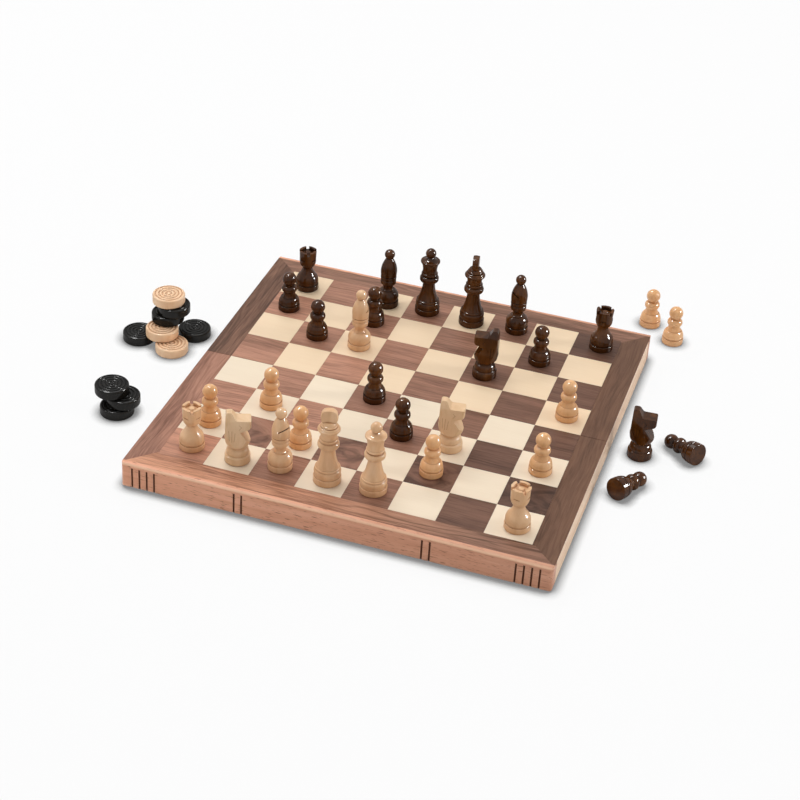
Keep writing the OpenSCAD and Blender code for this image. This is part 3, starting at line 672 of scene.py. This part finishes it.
def sawn_knight():
    """The mesh of a knight who stands at the origin and looks along +X."""
    blank = turned("knight_blank", knight_profile())
    cutters = [
        (board_cut("horse_side", HORSE_SIDE, False), "INTERSECT"),
        (board_cut("horse_front", horse_front(), True), "INTERSECT"),
        (strokes("mane", MANE), "DIFFERENCE"),
        (strokes("cheek_upper", CHEEK[:1]), "DIFFERENCE"),
        (strokes("cheek_lower", CHEEK[1:]), "DIFFERENCE"),
    ]
    for cutter, operation in cutters:
        cut = blank.modifiers.new("cut", "BOOLEAN")
        cut.object, cut.operation, cut.solver = cutter, operation, "EXACT"
    seen = blank.evaluated_get(bpy.context.evaluated_depsgraph_get())
    mesh = bpy.data.meshes.new_from_object(seen)
    for helper in [blank] + [cutter for cutter, operation in cutters]:
        bpy.data.objects.remove(helper)
    shape = bmesh.new()
    shape.from_mesh(mesh)
    bmesh.ops.remove_doubles(shape, verts=shape.verts, dist=1e-6)
    for face in shape.faces:
        face.smooth = True
    for edge in shape.edges:
        edge.smooth = edge.is_manifold and edge.calc_face_angle() < SMOOTH_BELOW
    shape.to_mesh(mesh)
    shape.free()
    return mesh


def foot_centre(node):
    """The middle of the ring that a man stands on."""
    corners = [corner.co for corner in NODES[node].data.vertices]
    low = min(corner.z for corner in corners)
    ring = [corner for corner in corners if corner.z < low + 0.002]
    middle = [(min(c[axis] for c in ring) + max(c[axis] for c in ring)) / 2 for axis in (0, 1)]
    return Vector((*middle, low))


knight_mesh = sawn_knight()
for node, heading in KNIGHTS.items():
    mesh = knight_mesh.copy()
    mesh.transform(Matrix.Translation(foot_centre(node)) @ Matrix.Rotation(math.radians(heading), 4, "Z"))
    mesh.materials.clear()
    mesh.materials.append(LIGHT_MEN["knight"] if node.startswith("light") else dark_man)
    knight = bpy.data.objects.new(node + "_sawn", mesh)
    bpy.context.scene.collection.objects.link(knight)
    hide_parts(node)
    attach(knight, node)


# ---------------------------------------------------------------- camera, floor, light


# Light from all round, in whites
DOME = 0.50
# How far from an object the floor darkens, and how clear the floor is to the eye
SHADOW_REACH = 0.010
FLOOR_CLEAR = 0.9
FLOOR_REACH = 12
# The camera as solved from the corners of the chequered field in the photograph
CAMERA_PLACE = (0.36441, -1.27975, 0.92274)
CAMERA_RIGHT = (0.944437, 0.325914, 0.042638)
CAMERA_UP = (-0.213048, 0.508204, 0.834470)
CAMERA_BACK = (0.250296, -0.797188, 0.549402)
CAMERA_LENS, CAMERA_SENSOR = 87.307, 36
CAMERA_SHIFT = (0.05, -0.0425)
# Name, direction, distance, size and level of each soft lamp, and the same for the bright panes
SOFTBOXES = [
    ("overhead", (-0.30, 0.35, 0.88), 2.4, 1.5, 0.44),
    ("right_fill", (0.85, 0.20, 0.50), 2.0, 0.30, 0.20),
    ("left_fill", (-0.70, -0.20, 0.70), 2.0, 0.30, 0.12),
]
WINDOWS = [
    ("right_window", (0.88, 0.30, 0.36), 2.0, 0.60, 26),
    ("high_window", (-0.40, 0.10, 0.90), 2.0, 0.50, 20),
]


def place_camera():
    data = bpy.data.cameras.new("camera")
    camera = bpy.data.objects.new("camera", data)
    bpy.context.scene.collection.objects.link(camera)
    bpy.context.scene.camera = camera
    data.sensor_width = CAMERA_SENSOR
    data.lens = CAMERA_LENS
    data.shift_x, data.shift_y = CAMERA_SHIFT
    data.clip_end = 30
    turn = Matrix((CAMERA_RIGHT, CAMERA_UP, CAMERA_BACK)).transposed()
    camera.matrix_world = Matrix.Translation(CAMERA_PLACE) @ turn.to_4x4()


def seen_directly(tree):
    """1 for rays that should see the white background, 0 for those that carry light."""
    path = tree.nodes.new("ShaderNodeLightPath")
    result = path.outputs["Is Camera Ray"]
    for name in ("Is Glossy Ray", "Is Transmission Ray"):
        either = tree.nodes.new("ShaderNodeMath")
        either.operation = "MAXIMUM"
        tree.links.new(result, either.inputs[0])
        tree.links.new(path.outputs[name], either.inputs[1])
        result = either.outputs[0]
    return result


def floor_material():
    """Pale grey to the light, and clear to the eye, so that the white behind it shows.

    Only a painted contact shadow, made from ambient occlusion, and a tenth of the object's
    cast shadow are seen. What hangs below the floor when the board folds stays in view, and
    the lamps reach it.
    """
    n = Nodes("floor")
    grain = n.noise(n.object_place(), 40, detail=2)
    tint = n.ramp(grain, (0.3, (0.790, 0.795, 0.80)), (0.7, (0.81, 0.815, 0.82)))
    diffuse = n.add("BsdfDiffuse", {"Color": tint})
    # painted contact shadow: the floor is darkened by ambient occlusion near objects, where it is seen
    open_air = n.add("AmbientOcclusion", {"Distance": SHADOW_REACH}, out=1)
    near = n.span(open_air, 0.55, 0.97, 0.25, 1.0)
    path = n.tree.nodes.new("ShaderNodeLightPath")
    shadow_ray = path.outputs["Is Shadow Ray"]
    for_eyes = n.blend(shadow_ray, near, 1.0)
    grey = n.add("CombineColor", {0: for_eyes, 1: for_eyes, 2: for_eyes})
    clear = n.add("BsdfTransparent", {"Color": grey})
    share = n.product(n.math("MAXIMUM", seen_directly(n.tree), shadow_ray), FLOOR_CLEAR)
    output = n.tree.nodes.new("ShaderNodeOutputMaterial")
    n.tree.links.new(n.add("MixShader", {0: share, 1: diffuse, 2: clear}), output.inputs[0])
    return n.material


def make_floor():
    mesh = bpy.data.meshes.new("floor")
    turns = ((-1, -1), (1, -1), (1, 1), (-1, 1))
    corners = [(x * FLOOR_REACH, y * FLOOR_REACH, TABLE) for x, y in turns]
    mesh.from_pydata(corners, [], [(0, 1, 2, 3)])
    floor = bpy.data.objects.new("floor", mesh)
    bpy.context.scene.collection.objects.link(floor)
    mesh.materials.append(floor_material())


def make_world():
    """A plain dome of light above the floor, which is white where it is seen."""
    world = bpy.data.worlds.new("world")
    bpy.context.scene.world = world
    world.use_nodes = True
    tree = world.node_tree
    tree.nodes.clear()

    def put(kind, operation=None):
        made = tree.nodes.new("ShaderNode" + kind)
        if operation:
            made.operation = operation
        return made

    place, split, above = put("TexCoord"), put("SeparateXYZ"), put("Math", "GREATER_THAN")
    light, strength, background = put("Math", "MULTIPLY"), put("MapRange"), put("Background")
    above.inputs[1].default_value = 0.0
    light.inputs[1].default_value = DOME
    strength.inputs[4].default_value = 1.0
    background.inputs["Color"].default_value = (1, 1, 1, 1)
    for start, end in (
        (place.outputs["Generated"], split.inputs[0]),
        (split.outputs["Z"], above.inputs[0]),
        (above.outputs[0], light.inputs[0]),
        (seen_directly(tree), strength.inputs[0]),
        (light.outputs[0], strength.inputs[3]),
        (strength.outputs[0], background.inputs["Strength"]),
        (background.outputs[0], put("OutputWorld").inputs[0]),
    ):
        tree.links.new(start, end)


def lamp(name, towards, distance, size, energy):
    """Square lamp that faces the board."""
    data = bpy.data.lights.new(name, "AREA")
    data.shape = "SQUARE"
    data.size = size
    data.energy = energy
    made = bpy.data.objects.new(name, data)
    bpy.context.scene.collection.objects.link(made)
    away = Vector(towards).normalized()
    made.location = away * distance
    made.rotation_mode = "QUATERNION"
    made.rotation_quaternion = away.to_track_quat("Z", "Y")
    return made


def softbox(name, towards, distance, size, level):
    """level is the light that the lamp adds on a surface square to it."""
    return lamp(name, towards, distance, size, level * (math.pi * distance) ** 2)


def window(name, towards, distance, size, brightness):
    """A bright pane that only shows as highlights in lacquer. brightness is in whites."""
    made = lamp(name, towards, distance, size, brightness * (math.pi * size) ** 2)
    made.visible_diffuse = False


place_camera()
make_floor()
make_world()
for each in SOFTBOXES:
    softbox(*each)
for each in WINDOWS:
    window(*each)
bpy.context.scene.view_settings.view_transform = "Standard"
